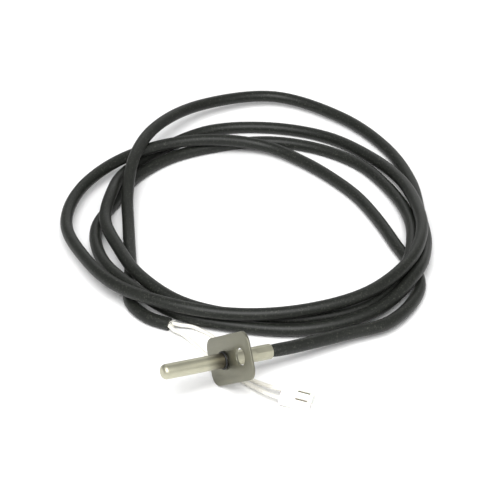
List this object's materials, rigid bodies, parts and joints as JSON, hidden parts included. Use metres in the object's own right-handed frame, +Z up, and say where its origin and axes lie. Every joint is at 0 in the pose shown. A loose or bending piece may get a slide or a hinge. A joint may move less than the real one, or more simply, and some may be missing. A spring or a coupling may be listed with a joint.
{
  "type": "flame sensor probe",
  "caption": "Boiler sensor probe: closed metal tube through an oblong screw-on flange, long dark round cable lying in loose coils, bare white leads and a small white plug-in connector.",
  "frame": {"origin": "centre of the probe's bounding box (tube and flange, without the cable and connector) at table height", "axes": "+X is within 4 degrees of the way the closed tip points, seen from above; +Z is up from the table; +Y completes the frame. The tube rises 8.6 degrees towards the tip and the flange stands on one rounded corner."},
  "size_m": [0.1715, 0.2263, 0.0324],
  "materials": {
    "stainless_tube": "drawn stainless tube, satin",
    "flange_sheet": "stamped sheet, satin grey with a faint olive cast",
    "braze": "dull brazing fillet",
    "seal_rubber": "matte black",
    "cable_rubber": "matte dark grey, slightly dusty",
    "white_insulation": "soft white core insulation",
    "white_polyamide": "moulded natural white",
    "tinned_brass": "tinned",
    "tinned_copper": "tinned strands",
    "glass_bead": "glass-sealed bead",
    "fibre_sleeve": "woven glass sleeve",
    "sealant": "cast filler"
  },
  "bodies": {
    "root": {"probe_sheath": "stainless_tube", "flange_plate": "flange_sheet", "sealing_ring": "seal_rubber", "braze_ring": "braze", "tip_filling": "sealant", "thermistor_bead": "glass_bead", "thermistor_lead_a": "tinned_copper", "thermistor_lead_b": "tinned_copper", "lead_sleeve_a": "fibre_sleeve", "lead_sleeve_b": "fibre_sleeve", "splice_a": "tinned_brass", "splice_b": "tinned_brass", "core_tail_a": "white_insulation", "core_tail_b": "white_insulation", "insulating_sleeve": "fibre_sleeve", "end_seal": "sealant", "cable_jacket": "cable_rubber", "lead_wire_a": "white_insulation", "lead_wire_b": "white_insulation", "conductor_end_a": "tinned_copper", "conductor_end_b": "tinned_copper", "crimp_terminal_a": "tinned_brass", "crimp_terminal_b": "tinned_brass", "connector_housing": "white_polyamide"}
  },
  "joints": []
}
